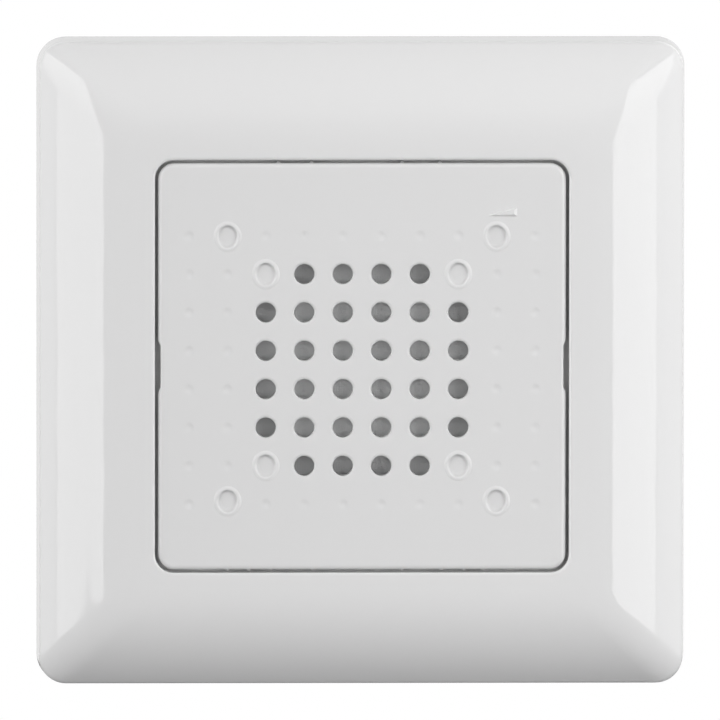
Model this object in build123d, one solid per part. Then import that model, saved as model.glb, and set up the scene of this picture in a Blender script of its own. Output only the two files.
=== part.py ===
from build123d import *
import math
import os

# A flush-mounted door chime: a domed square frame, a perforated centre cover that plugs into it, and an
# insert that holds the loudspeaker and its electronics in a round wall box.
# Every piece is drawn lying on its back: x to the right, y up the wall, z out of the wall into the room.
# z = 0 is the face of the wall. Saving a piece stands it up: +Z is up and the front looks along -Y.
# All lengths are in millimetres.

# Fits shared by several pieces
loose_gap = 0.3
seat_gap = 0.2
running_gap = 0.05
overrun = 1.0

# Cover frame
frame_side = 80.0
frame_depth = 10.5
frame_edge_height = 4.9
frame_draft = 3.5
frame_bevel_width = 12.0
frame_corner_radius = 3.3
frame_flat_corner_radius = 2.8
frame_wall = 1.8
frame_arris_radius = 0.8
frame_rib = 1.2
frame_rib_shares = (-0.2, 0.2)
opening_side = 51.0
opening_radius = 2.3
opening_edge_radius = 0.25
lip_overlap = 1.6
lip_thickness = 1.4
collar_wall = 1.4
collar_rear_height = 1.4

# Centre cover
cover_side = 50.2
cover_radius = 2.0
cover_recess = 0.3
cover_thickness = 1.8
cover_edge_radius = 0.5
skirt_wall = 1.2
skirt_gap = 0.4
cover_rib = 0.9
cloth_thickness = 0.3
hole_diameter = 2.5
hole_pitch = 4.74
hole_count = 6
field_drop = 0.44
blind_width = 2.35
blind_height = 2.7
blind_depth = 0.3
corner_blind_spread = 33.1
corner_blind_rise = 32.7
corner_blind_drop = 0.3
dimple_columns = 10
dimple_rows = 8
dimple_width = 1.25
dimple_depth = 0.13
pry_mouth = 6.4
pry_floor = 5.2
pry_depth = 0.3
crush_rib_width = 0.5
crush_rib_setback = 0.6
top_crush_rib_shares = (-0.205, -0.124, 0.098, 0.191)
bottom_crush_rib_shares = (-0.329, -0.277, -0.223, -0.120, 0.098, 0.195, 0.251, 0.299)
leg_x = 20.4
leg_y = 9.2
leg_thickness = 1.6
leg_width = 4.4
leg_window_width = 3.0
leg_window_height = 1.3

# Support ring
ring_side = 71.0
ring_thickness = 1.0
ring_bore_radius = 20.5
ring_corner_cut = 7.0
box_screw_spacing = 60.0
box_hole_radius = 2.0
box_slot_radius = 1.9
box_slot_length = 7.0
corner_hole_spacing = 54.0
corner_hole_radius = 1.7

# Carrier, the front moulding of the insert
carrier_radius = 1.8
speaker_room = 3.0
carrier_skin = 1.6
carrier_wall = 1.2
neck_wall = 1.4
neck_gap = 0.2
socket_wall = 0.9
wire_notch_width = 4.2

# Screws that clamp the ring between carrier and housing
clamp_screw_x = 10.4
clamp_screw_y = 20.4
clamp_screw_radius = 1.1
clamp_screw_length = 12.0
clamp_head_radius = 1.9
clamp_head_height = 1.3
clamp_boss_radius = 2.9

# Rear housing in the wall box
vent_length = 12.0
vent_width = 1.4
vent_count = 4
vent_pitch = 3.4
vent_y = 10.0
housing_radius = 25.0
housing_half_width = 18.0
housing_depth = 26.5
housing_wall = 1.5
housing_rear_radius = 1.5
housing_screw_boss_radius = 2.4
housing_screw_boss_depth = 9.5
terminal_step_y = -8.5
terminal_step_depth = 17.1
board_post_radius = 2.3
board_post_x = 13.2
board_post_y = 5.5
board_rest_x = 13.0
board_rest_y = -13.0

# Loudspeaker
speaker_radius = 20.0
basket_sheet = 0.6
basket_mouth_radius = 17.0
basket_seat_radius = 13.6
basket_seat_drop = 5.6
basket_neck_radius = 11.2
basket_floor_drop = 2.0
basket_bore_radius = 6.0
basket_window_angle = 62.0
plate_radius = 12.0
plate_thickness = 1.6
plate_bore_radius = 5.65
magnet_radius = 12.5
magnet_bore_radius = 7.0
magnet_thickness = 4.0
yoke_thickness = 1.6
pole_radius = 4.5
bobbin_radius = 5.0
bobbin_wall = 0.2
bobbin_length = 6.0
winding_thickness = 0.35
winding_length = 2.6
cone_paper = 0.35
cone_rim_radius = 14.6
cone_neck_rise = 0.4
cone_hollow = 0.7
cap_radius = 5.8
cap_rise = 1.9
surround_sheet = 0.2
surround_roll_rise = 0.5
surround_flange = 1.9
spider_sheet = 0.25
spider_waves = 3
spider_wave_rise = 0.25
gasket_thickness = 0.7
gasket_width = 2.0
hook_width = 3.0
hook_wall = 0.9
hook_nose = 0.8
hook_nose_height = 0.6

# Speaker tag board and leads
tag_width = 7.0
tag_length = 5.6
tag_thickness = 0.8
tag_lead_spacing = 4.0
speaker_lead_radius = 0.5
speaker_lead_shift = 2.2

# Volume trimmer behind the upper right corner blind
trimmer_side = 6.6
trimmer_rear_gap = 0.2
rotor_radius = 1.7
rotor_sink = 0.2
rotor_slot_width = 0.6
rotor_slot_depth = 1.0
volume_lead_radius = 0.25
volume_lead_spacing = 1.2
volume_lead_run = 3.4
volume_lead_swerve = 0.9
bend_share = 0.45

# Circuit board and what is soldered to it
board_front_depth = 12.0
board_thickness = 1.6
board_gap = 0.3
board_screw_radius = 1.0
board_screw_length = 7.0
board_head_radius = 1.8
board_head_height = 1.2
big_capacitor_radius = 4.0
capacitor_floor_gap = 1.9
big_capacitor_x = -8.6
small_capacitor_radius = 3.15
small_capacitor_drop = 1.5
small_capacitor_x = -0.8
capacitor_neck = 0.25
chip_length = 9.4
chip_width = 6.2
chip_height = 3.3
chip_standoff = 0.5
chip_pin_pitch = 2.54
chip_pin_width = 0.5
chip_pin_reach = 0.7
chip_notch_radius = 0.8
rectifier_length = 6.8
rectifier_x = 6.7
resistor_radius = 1.1
resistor_length = 5.0
resistor_count = 4
resistor_pitch = 3.0
resistor_lead_radius = 0.3
resistor_height = 1.5

# Screw terminals
terminal_pitch = 5.08
terminal_count = 4
terminal_end_wall = 0.55
terminal_height = 8.0
terminal_y = -13.5
terminal_reach = 0.5
terminal_well_width = 4.0
terminal_well_height = 4.4
terminal_well_depth = 9.0
wire_hole_radius = 1.4
cage_gap = 0.1
cage_length = 5.6
cage_wall = 0.7
cage_sink = 2.4
terminal_screw_radius = 1.2
terminal_head_radius = 1.75
terminal_head_height = 1.4
screw_slot_width = 0.6
screw_slot_depth = 0.7

# Spreading claws, their screws and barrel nuts
claw_screw_x = 24.5
claw_screw_radius = 1.75
claw_screw_hole_radius = 1.9
claw_screw_pitch = 0.6
claw_screw_length = 12.5
claw_head_radius = 2.7
claw_head_height = 1.8
claw_arm = 4.0
claw_pivot_depth = 5.0
claw_swing = 20.0
claw_sheet = 1.2
claw_half_width = 5.5
claw_length = 14.6
claw_foot_overhang = 2.7
claw_tooth_reach = 8.0
claw_tooth_width = 2.6
claw_knuckle_radius = 2.0
claw_pin_radius = 1.0
claw_slot_gap = 0.2
claw_nut_radius = 2.2
claw_nut_length = 9.0
claw_contact_gap = 0.05
ear_gap = 0.4
ear_thickness = 2.4
ear_radius = 2.2
claw_notch_gap = 0.7

# Springs that grip the cover's legs
spring_sheet = 0.3
spring_width = 2.6
spring_bulge = 0.75
spring_length = 3.4
spring_bend_share = 0.2
spring_pocket = 0.75

# Heights that follow from the sizes above
cover_front = frame_depth - cover_recess
cover_back = cover_front - cover_thickness
carrier_front = cover_back - speaker_room
lip_side = opening_side - 2 * lip_overlap
skirt_side = lip_side - 2 * skirt_gap
carrier_side = lip_side - 2 * loose_gap
skirt_rear = carrier_front + loose_gap
basket_front = carrier_front + basket_sheet
basket_seat_height = carrier_front - basket_seat_drop
basket_floor_height = basket_seat_height - basket_floor_drop
cone_neck_height = basket_seat_height + cone_neck_rise
gasket_back = basket_front + surround_sheet
gasket_front = gasket_back + gasket_thickness
neck_radius = ring_bore_radius - neck_gap
carrier_inner_height = carrier_front - carrier_skin
leg_end_height = ring_thickness + seat_gap
basket_back = basket_floor_height - basket_sheet
plate_back = basket_back - plate_thickness
magnet_back = plate_back - magnet_thickness
sound_ring_radius = speaker_radius - hook_nose - loose_gap
board_front = -board_front_depth
board_back = board_front - board_thickness
housing_floor = -housing_depth + housing_wall
step_floor = -terminal_step_depth
terminal_rear = -housing_depth - terminal_reach
terminal_width = terminal_count * terminal_pitch + 2 * terminal_end_wall
claw_pivot_x = claw_screw_x - claw_arm
claw_pivot_height = -claw_pivot_depth
claw_nut_offset = claw_sheet / 2 + claw_nut_radius + claw_contact_gap
volume_x = corner_blind_spread / 2
volume_y = corner_blind_rise / 2 - corner_blind_drop

STAND_UP = Plane(origin=(0, 0, 0), x_dir=(1, 0, 0), z_dir=(0, -1, 0)).location


def slab(outline, low, high):
    """Raise a flat outline into a solid between two heights."""
    return Pos(0, 0, low) * extrude(outline, high - low)


def square(side, radius, low, high):
    """A square block with rounded upright corners."""
    return slab(RectangleRounded(side, side, radius), low, high)


def disc(radius, low, high):
    return slab(Circle(radius), low, high)


def washer(outer, inner, low, high):
    return slab(Circle(outer) - Circle(inner), low, high)


def bar(width, height, low, high, x=0, y=0):
    return slab(Pos(x, y) * Rectangle(width, height), low, high)


def rod(radius, length, x, z):
    """A round bar along y, centred on y = 0."""
    return Pos(x, 0, z) * Rot(90, 0, 0) * Cylinder(radius, length)


def at_corners(piece, x, y):
    """Four copies of a piece at the corners of a rectangle."""
    return [Pos(sx * x, sy * y, 0) * piece for sx in (-1, 1) for sy in (-1, 1)]


def mirrored(piece):
    return mirror(piece, about=Plane.YZ)


def at_legs(piece):
    """Four copies of a piece that is drawn beside the right-hand legs, halfway between them."""
    right = [Pos(0, side * leg_y, 0) * piece for side in (-1, 1)]
    return right + [mirrored(copy) for copy in right]


def strip_face(line, shift):
    """The flat strip between a line and a shifted copy of it."""
    other = Pos(*shift) * line
    return make_face(line.edges() + other.edges() + [Line(line @ 0, other @ 0), Line(line @ 1, other @ 1)])


def revolved_sheet(front, thickness):
    """A thin sheet of revolution. Its front face follows a line given in radius and height."""
    return revolve(Plane.XZ * strip_face(front, (0, -thickness, 0)), Axis.Z)


# Cover frame

def domed_block(foot_side, top, arc_radius, arc_inset, corner_radius, flat_corner_radius):
    """A square block with leaning walls, whose edges roll off in one arc that ends level with the flat top.

    arc_inset is how far in from the top of the walls the flat begins.
    """
    lean = frame_edge_height * math.tan(math.radians(frame_draft))
    side = foot_side - 2 * lean
    end_angle = math.asin(arc_inset / arc_radius)
    steps = 10
    sections = []
    for step in range(steps + 1):
        share = (1 - math.cos(math.pi * step / steps)) / 2
        angle = end_angle * (1 - share)
        width = side - 2 * (arc_inset - arc_radius * math.sin(angle))
        height = top - arc_radius * (1 - math.cos(angle))
        radius = corner_radius + (flat_corner_radius - corner_radius) * share
        sections.append(Pos(0, 0, height) * RectangleRounded(width, width, radius))
    foot = RectangleRounded(foot_side, foot_side, corner_radius + lean)
    return loft(sections) + loft([foot, sections[0]])


def frame():
    drop = frame_depth - frame_edge_height
    arc_radius = (frame_bevel_width**2 + drop**2) / (2 * drop)
    outside = domed_block(
        frame_side, frame_depth, arc_radius, frame_bevel_width, frame_corner_radius, frame_flat_corner_radius
    )
    inside = domed_block(
        frame_side - 2 * frame_wall,
        frame_depth - frame_wall,
        arc_radius - frame_wall,
        frame_bevel_width - frame_wall,
        frame_corner_radius - frame_wall,
        frame_flat_corner_radius,
    )
    near_arris = (frame_edge_height - running_gap, frame_edge_height + running_gap)
    outside = fillet(outside.edges().filter_by_position(Axis.Z, *near_arris), frame_arris_radius)
    shell = outside - inside
    collar_side = lip_side + 2 * collar_wall
    neck_side = opening_side + 2 * frame_wall
    collar = square(collar_side, opening_radius, collar_rear_height, cover_back)
    inner_top = frame_depth - frame_wall / 2
    neck = square(neck_side, opening_radius + frame_wall, cover_back - lip_thickness, inner_top)
    ribs = frame_ribs(collar_side / 2 - collar_wall / 2) & outside
    body = shell + collar + neck + ribs
    body -= square(lip_side, opening_radius - loose_gap, -overrun, cover_back)
    body -= square(opening_side, opening_radius, cover_back, frame_depth + overrun)
    near_front = (frame_depth - running_gap, frame_depth + running_gap)
    mouth = body.edges().filter_by_position(Axis.Z, *near_front).filter_by(
        lambda edge: max(abs(edge.center().X), abs(edge.center().Y)) < opening_side / 2 + opening_edge_radius
    )
    body = fillet(mouth, opening_edge_radius)
    notch_side = 2 * (claw_head_radius + claw_notch_gap)
    notch_top = ring_thickness + claw_head_height + loose_gap
    for side in (-1, 1):
        body -= bar(notch_side, notch_side, -overrun, notch_top, side * claw_screw_x)
    return body


def frame_ribs(inner):
    """Ribs from the collar to the outer wall. They rest on the ring, and their heels centre its edge."""
    outer = frame_side / 2 - frame_wall / 2
    heel = ring_side / 2 + seat_gap
    middle = (inner + outer) / 2
    top = frame_depth - frame_wall / 2
    ribs = []
    for share in frame_rib_shares:
        place = share * frame_side
        rib = bar(outer - inner, frame_rib, ring_thickness, top, middle, place)
        rib += bar(outer - heel, frame_rib, 0, frame_edge_height, (heel + outer) / 2, place)
        ribs += [Rot(0, 0, quarter * 90) * rib for quarter in range(4)]
    return Part() + ribs


# Centre cover

def grid_places(columns, rows):
    """Places of a lattice on the sound field, each with its column and row counted from the middle."""
    places = []
    for column in range(columns):
        for row in range(rows):
            across = column - (columns - 1) / 2
            along = row - (rows - 1) / 2
            places.append((across, along, across * hole_pitch, along * hole_pitch - field_drop))
    return places


def centre_cover():
    plate = square(cover_side, cover_radius, cover_back, cover_front)
    plate = fillet(plate.faces().sort_by(Axis.Z)[-1].edges(), cover_edge_radius)
    half_field = (hole_count - 1) / 2
    holes = []
    blinds = []
    for across, along, x, y in grid_places(hole_count, hole_count):
        if abs(across) == half_field and abs(along) == half_field:
            blinds.append((x, y))
        else:
            holes.append(Pos(x, y) * Circle(hole_diameter / 2))
    plate -= slab(Sketch() + holes, cover_back - overrun, cover_front + overrun)
    blinds += [
        (sx * corner_blind_spread / 2, sy * corner_blind_rise / 2 - corner_blind_drop)
        for sx in (-1, 1)
        for sy in (-1, 1)
    ]
    plate -= slab(
        Sketch() + [Pos(x, y) * Ellipse(blind_width / 2, blind_height / 2) for x, y in blinds],
        cover_front - blind_depth,
        cover_front + overrun,
    )
    plate -= dimples(half_field)
    plate -= pry_notches()
    return plate + cover_underside() + crush_ribs()


def dimples(half_field):
    """Shallow round dents that carry the hole pattern on towards the edges of the cover."""
    ball_radius = ((dimple_width / 2) ** 2 + dimple_depth**2) / (2 * dimple_depth)
    ball = Sphere(ball_radius)
    last_column = (dimple_columns - 1) / 2
    last_row = (dimple_rows - 1) / 2
    dents = []
    for across, along, x, y in grid_places(dimple_columns, dimple_rows):
        in_field = abs(across) <= half_field and abs(along) <= half_field
        corner_blind = abs(across) == last_column - 1 and abs(along) == last_row
        if not in_field and not corner_blind:
            dents.append(Pos(x, y, cover_front - dimple_depth + ball_radius) * ball)
    return dents


def pry_notches():
    """Trapezoid nicks in the left and right edges, where a blade lifts the cover."""
    edge = cover_side / 2
    nick = make_face(
        Polyline(
            (edge - pry_depth, -pry_floor / 2),
            (edge, -pry_mouth / 2),
            (edge + overrun, -pry_mouth / 2),
            (edge + overrun, pry_mouth / 2),
            (edge, pry_mouth / 2),
            (edge - pry_depth, pry_floor / 2),
            close=True,
        )
    )
    right = slab(nick, cover_back - overrun, cover_front + overrun)
    return [right, mirrored(right)]


def cover_underside():
    """Skirt, sound ring round the loudspeaker, stiffening ribs and the four legs."""
    half_skirt = skirt_side / 2
    inner_skirt = skirt_side - 2 * skirt_wall
    ring_low = gasket_front + seat_gap
    skirt = square(skirt_side, cover_radius, skirt_rear, cover_back) - square(
        inner_skirt, cover_radius - skirt_wall, skirt_rear, cover_back
    )
    sound_ring = washer(sound_ring_radius, sound_ring_radius - skirt_wall, ring_low, cover_back)
    rib_start = sound_ring_radius - skirt_wall / 2
    rib_length = half_skirt - skirt_wall / 2 - rib_start
    rib = bar(rib_length, cover_rib, ring_low, cover_back, rib_start + rib_length / 2)
    ribs = [Rot(0, 0, quarter * 90) * rib for quarter in range(4)]
    return Part() + [skirt, sound_ring] + ribs + at_legs(cover_leg())


def cover_leg():
    """A flat leg with a window that its spring snaps into, and a bevelled tip."""
    tip = leg_thickness / 4
    leg = bar(leg_thickness, leg_width, leg_end_height, cover_back, leg_x)
    leg = chamfer(leg.faces().sort_by(Axis.Z)[0].edges().filter_by(Axis.Y), tip)
    window_low = leg_end_height + leg_window_height
    return leg - bar(
        leg_thickness + overrun, leg_window_width, window_low, window_low + leg_window_height, leg_x
    )


def dust_cloth():
    """A round of pale cloth glued behind the holes, inside the sound ring."""
    return disc(sound_ring_radius - skirt_wall - seat_gap, cover_back - cloth_thickness, cover_back)


def crush_ribs():
    """Small half-round ribs on the upper and lower edges that centre the cover in its opening."""
    ribs = []
    for side, shares in ((1, top_crush_rib_shares), (-1, bottom_crush_rib_shares)):
        for share in shares:
            rib = disc(crush_rib_width / 2, cover_back, cover_front - crush_rib_setback)
            ribs.append(Pos(share * cover_side, side * cover_side / 2, 0) * rib)
    return ribs


# Support ring

def slot(length, radius):
    """A slot that runs along y."""
    return Rot(0, 0, 90) * SlotOverall(length, 2 * radius)


def support_ring():
    outline = chamfer(Rectangle(ring_side, ring_side).vertices(), ring_corner_cut)
    cuts = [Circle(ring_bore_radius)]
    for side in (-1, 1):
        cuts.append(Pos(side * box_screw_spacing / 2, 0) * Circle(box_hole_radius))
        cuts.append(Pos(0, side * box_screw_spacing / 2) * slot(box_slot_length, box_slot_radius))
        cuts.append(Pos(side * claw_screw_x, 0) * Circle(claw_screw_hole_radius))
    cuts += at_corners(Circle(corner_hole_radius), corner_hole_spacing / 2, corner_hole_spacing / 2)
    cuts += at_corners(Circle(clamp_screw_radius + loose_gap), clamp_screw_x, clamp_screw_y)
    return slab(outline - cuts, 0, ring_thickness)


# Carrier

def insert_carrier():
    """The front moulding: it carries the speaker and the trimmer, and the legs of the cover plug into it."""
    block = square(carrier_side, carrier_radius, ring_thickness, carrier_front)
    hollow = square(
        carrier_side - 2 * carrier_wall, carrier_radius - carrier_wall, ring_thickness, carrier_inner_height
    )
    inside = [washer(neck_radius, neck_radius - neck_wall, ring_thickness, carrier_inner_height)]
    boss = disc(clamp_boss_radius, ring_thickness, carrier_inner_height)
    inside += at_corners(boss, clamp_screw_x, clamp_screw_y)
    inside += at_legs(leg_socket())
    inside.append(Pos(volume_x, volume_y, 0) * trimmer_wall())
    inside += claw_bay_walls()
    body = (block - hollow) + ((Part() + inside) & block)
    body += washer(neck_radius, neck_radius - neck_wall, 0, ring_thickness)
    cuts = [disc(basket_mouth_radius + basket_sheet + loose_gap, carrier_inner_height, carrier_front)]
    cuts += at_legs(leg_slot())
    cuts += at_legs(spring_room())
    cuts += at_corners(clamp_screw_room(), clamp_screw_x, clamp_screw_y)
    cuts += claw_bays()
    cuts.append(Pos(volume_x, volume_y, 0) * trimmer_room())
    cuts.append(wire_notch())
    return body - cuts + speaker_hooks()


def leg_socket():
    """The block of plastic round a leg slot and its spring."""
    inner = leg_x - leg_thickness / 2 - seat_gap - socket_wall
    outer = carrier_side / 2 - carrier_wall / 2
    width = leg_width + 2 * (seat_gap + socket_wall)
    return bar(outer - inner, width, ring_thickness, carrier_inner_height, (inner + outer) / 2)


def leg_slot():
    width = leg_width + 2 * seat_gap
    return bar(leg_thickness + 2 * seat_gap, width, 0, carrier_front, leg_x)


def spring_room():
    """The pocket of a leaf spring, closed at the rear by the support ring."""
    face = leg_x + leg_thickness / 2 + seat_gap
    top = ring_thickness + spring_length + seat_gap
    return bar(spring_pocket, spring_width + 2 * seat_gap, 0, top, face + spring_pocket / 2)


def clamp_screw_room():
    head_seat = carrier_front - clamp_head_height
    head_room = disc(clamp_head_radius + running_gap, head_seat, carrier_front)
    return disc(clamp_screw_radius, 0, head_seat) + head_room


def claw_bays():
    """Bays in the left and right edges, where a screwdriver reaches the claw screws."""
    reach = 2 * (claw_head_radius + loose_gap)
    right = bar(reach, reach, 0, carrier_front, claw_screw_x)
    return [right, mirrored(right)]


def claw_bay_walls():
    reach = 2 * (claw_head_radius + loose_gap + socket_wall)
    right = bar(reach, reach, ring_thickness, carrier_inner_height, claw_screw_x)
    return [right, mirrored(right)]


def trimmer_wall():
    side = trimmer_side + 2 * (running_gap + socket_wall)
    return bar(side, side, ring_thickness, carrier_inner_height)


def trimmer_room():
    side = trimmer_side + 2 * running_gap
    return bar(side, side, 0, carrier_inner_height) + disc(rotor_radius + loose_gap, 0, carrier_front)


def wire_notch():
    """The way out of the trimmer's pocket for its three wires."""
    right = volume_x - trimmer_side / 2
    left = right - volume_lead_run - 2 * volume_lead_radius - loose_gap
    width = 2 * volume_lead_spacing + 2 * (volume_lead_radius + loose_gap)
    top = volume_lead_height() + volume_lead_radius + loose_gap
    return bar(right - left, max(width, wire_notch_width), 0, top, (left + right) / 2, volume_y)


def speaker_hooks():
    """Four hooks that grip the rim of the loudspeaker."""
    inner = speaker_radius + seat_gap
    nose_start = speaker_radius - hook_nose
    top = basket_front + hook_nose_height
    post = bar(hook_wall, hook_width, carrier_front, top, inner + hook_wall / 2)
    nose = bar(inner - nose_start, hook_width, basket_front, top, (inner + nose_start) / 2)
    hook = post + nose
    ramp = hook.edges().group_by(Axis.Z)[-1].sort_by(Axis.X)[0]
    hook = chamfer(ramp, hook_nose_height / 2)
    return [Rot(0, 0, quarter * 90) * hook for quarter in range(4)]


def clamp_screw():
    """A pan-head screw that goes through carrier and ring into the housing."""
    head_seat = carrier_front - clamp_head_height
    head = disc(clamp_head_radius, head_seat, carrier_front - running_gap)
    shank = disc(clamp_screw_radius, head_seat - clamp_screw_length, head_seat)
    return slotted(head, carrier_front - running_gap) + shank


def slotted(head, top):
    """Cut a screwdriver slot into the upper end of a head."""
    width = head.bounding_box().size.X
    return head - bar(width, screw_slot_width, top - screw_slot_depth, top)


# Cover springs

def leg_spring():
    """A strip of spring steel beside a leg. Its bend stands in the leg's window."""
    face = leg_x + leg_thickness / 2 + seat_gap
    low = ring_thickness
    high = low + spring_length
    window_middle = leg_end_height + 1.5 * leg_window_height
    shoulder = spring_bend_share * spring_length
    line = Polyline(
        (face, low),
        (face, window_middle - shoulder),
        (face - spring_bulge, window_middle),
        (face, window_middle + shoulder),
        (face, high),
    )
    strip = strip_face(line, (spring_sheet, 0, 0))
    return Pos(0, spring_width / 2, 0) * extrude(Plane.XZ * strip, spring_width)


# Rear housing

def housing_outline(wall):
    """The round of the wall box with two flats for the claws, drawn in by a wall."""
    radius = housing_radius - wall
    return Circle(radius) & Rectangle(2 * (housing_half_width - wall), 2 * radius)


def above_step(outline, wall):
    """The part of the outline that lies above the terminal step."""
    low = terminal_step_y + wall
    return outline & (Pos(0, low + housing_radius) * Rectangle(2 * housing_radius, 2 * housing_radius))


def rear_housing():
    outer = slab(housing_outline(0), step_floor, 0)
    outer += slab(above_step(housing_outline(0), 0), -housing_depth, step_floor)
    rear_rim = outer.faces().sort_by(Axis.Z)[0].edges()
    outer = fillet(rear_rim, housing_rear_radius)
    cavity = slab(housing_outline(housing_wall), step_floor + housing_wall, 0)
    cavity += slab(above_step(housing_outline(housing_wall), housing_wall), housing_floor, 0)
    window = bar(
        terminal_width + 2 * seat_gap,
        terminal_height + 2 * seat_gap,
        step_floor - overrun,
        board_back,
        0,
        terminal_y,
    )
    bosses = at_corners(
        disc(housing_screw_boss_radius, -housing_screw_boss_depth, 0), clamp_screw_x, clamp_screw_y
    )
    body = outer - cavity - window
    bosses += boss_webs()
    body += (Part() + bosses) & slab(housing_outline(housing_wall / 2), -housing_screw_boss_depth, 0)
    body += [Pos(side * board_post_x, board_post_y, 0) * board_post() for side in (-1, 1)]
    rest = disc(board_post_radius - housing_wall / 2, step_floor + housing_wall / 2, board_back)
    body += [Pos(side * board_rest_x, board_rest_y, 0) * rest for side in (-1, 1)]
    body += claw_ears()
    pilot_end = carrier_front - clamp_head_height - clamp_screw_length - seat_gap
    body -= at_corners(disc(clamp_screw_radius, pilot_end, 0), clamp_screw_x, clamp_screw_y)
    return body - vents()


def boss_webs():
    """Webs that join the four screw bosses to the round wall."""
    angle = math.degrees(math.atan2(clamp_screw_y, clamp_screw_x))
    web = bar(housing_radius, housing_wall, -housing_screw_boss_depth, 0, housing_radius / 2)
    web -= disc(math.hypot(clamp_screw_x, clamp_screw_y), -housing_screw_boss_depth, 0)
    return [Rot(0, 0, turn) * web for turn in (angle, -angle, 180 - angle, angle - 180)]


def board_post():
    post = disc(board_post_radius, housing_floor - housing_wall / 2, board_back)
    return post - disc(board_screw_radius, board_front - board_screw_length - seat_gap, board_back)


def vents():
    """Slots in the rear wall that let the back of the cone breathe."""
    first = -(vent_count - 1) / 2
    return [
        bar(vent_length, vent_width, -housing_depth, housing_floor, 0, vent_y + (first + step) * vent_pitch)
        for step in range(vent_count)
    ]


def claw_ears():
    """Two ears on each flat that hold the claw's pin."""
    start = housing_half_width - housing_wall / 2
    height = 2 * ear_radius
    arm = bar(claw_pivot_x - start, ear_thickness, -height / 2, height / 2, (start + claw_pivot_x) / 2)
    ear = Pos(0, 0, claw_pivot_height) * arm
    ear += rod(ear_radius, ear_thickness, claw_pivot_x, claw_pivot_height)
    ear -= rod(claw_pin_radius, 2 * ear_thickness, claw_pivot_x, claw_pivot_height)
    place = claw_half_width + ear_gap + ear_thickness / 2
    right = [Pos(0, side * place, 0) * ear for side in (-1, 1)]
    return right + [mirrored(copy) for copy in right]


# Loudspeaker

def speaker_basket():
    """Pressed steel: a rim, a slanting wall with four windows, a seat for the spider and a floor."""
    wall_run = math.hypot(basket_mouth_radius - basket_seat_radius, basket_front - basket_seat_height)
    wall = basket_sheet * wall_run / (basket_front - basket_seat_height)
    profile = Polyline(
        (speaker_radius, basket_front),
        (basket_mouth_radius, basket_front),
        (basket_seat_radius, basket_seat_height),
        (basket_neck_radius, basket_seat_height),
        (basket_neck_radius, basket_floor_height),
        (basket_bore_radius, basket_floor_height),
        (basket_bore_radius, basket_back),
        (basket_neck_radius + basket_sheet, basket_back),
        (basket_neck_radius + basket_sheet, basket_seat_height - basket_sheet),
        (basket_seat_radius + wall, basket_seat_height - basket_sheet),
        (basket_mouth_radius + wall, carrier_front),
        (speaker_radius, carrier_front),
        close=True,
    )
    basket = revolve(Plane.XZ * make_face(profile), Axis.Z)
    half_width = speaker_radius * math.tan(math.radians(basket_window_angle / 2))
    corners = [(0, 0), (speaker_radius, -half_width), (speaker_radius, half_width)]
    wedge = make_face(Polyline(*corners, close=True))
    window = slab(wedge, basket_seat_height + basket_sheet, carrier_front - basket_sheet)
    return basket - [Rot(0, 0, 45 + quarter * 90) * window for quarter in range(4)]


def pole_plate():
    return washer(plate_radius, plate_bore_radius, plate_back, basket_back)


def speaker_magnet():
    return washer(magnet_radius, magnet_bore_radius, magnet_back, plate_back)


def speaker_yoke():
    plate = disc(plate_radius, magnet_back - yoke_thickness, magnet_back)
    return plate + disc(pole_radius, magnet_back, basket_back)


def coil_former():
    low = cone_neck_height - bobbin_length
    return washer(bobbin_radius, bobbin_radius - bobbin_wall, low, cone_neck_height)


def coil_winding():
    middle = (basket_back + plate_back) / 2
    half = winding_length / 2
    return washer(bobbin_radius + winding_thickness, bobbin_radius, middle - half, middle + half)


def cone_start():
    return (bobbin_radius + running_gap, cone_neck_height + cone_paper)


def cone_end():
    return (cone_rim_radius, basket_front - running_gap)


def speaker_cone():
    """A paper cone, slightly hollow towards the front."""
    start = cone_start()
    end = cone_end()
    middle = ((start[0] + end[0]) / 2, (start[1] + end[1] - cone_hollow) / 2)
    return revolved_sheet(ThreePointArc(start, middle, end), cone_paper)


def dust_cap():
    """A shallow dome glued over the neck of the cone."""
    start = cone_start()
    end = cone_end()
    foot = start[1] + running_gap + (cap_radius - start[0]) * (end[1] - start[1]) / (end[0] - start[0])
    ball = (cap_radius**2 + cap_rise**2) / (2 * cap_rise)
    shell = Sphere(ball) - Sphere(ball - cone_paper)
    return (Pos(0, 0, foot + cap_rise - ball) * shell) & disc(cap_radius + overrun, foot, foot + ball)


def cone_surround():
    """The soft half roll between the cone and the rim of the basket."""
    height = gasket_back
    roll_start = cone_rim_radius + 2 * surround_sheet
    roll_middle = (roll_start + basket_mouth_radius) / 2
    front = Curve() + [
        Line((cone_rim_radius - 2 * surround_sheet, height), (roll_start, height)),
        ThreePointArc(
            (roll_start, height), (roll_middle, height + surround_roll_rise), (basket_mouth_radius, height)
        ),
        Line((basket_mouth_radius, height), (basket_mouth_radius + surround_flange, height)),
    ]
    return revolved_sheet(front, surround_sheet)


def speaker_spider():
    """The corrugated disc that centres the voice coil."""
    height = basket_seat_height + spider_sheet
    start = bobbin_radius + running_gap
    step = (basket_neck_radius - start) / (2 * spider_waves + 1)
    lines = [Line((start, height), (start + step, height))]
    for wave in range(2 * spider_waves):
        left = start + (wave + 1) * step
        sign = 1 if wave % 2 else -1
        crest = (left + step / 2, height + sign * spider_wave_rise)
        lines.append(ThreePointArc((left, height), crest, (left + step, height)))
    lines.append(Line((basket_neck_radius, height), (basket_seat_radius - loose_gap, height)))
    return revolved_sheet(Curve() + lines, spider_sheet)


def speaker_gasket():
    return washer(basket_mouth_radius + gasket_width, basket_mouth_radius, gasket_back, gasket_front)


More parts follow.
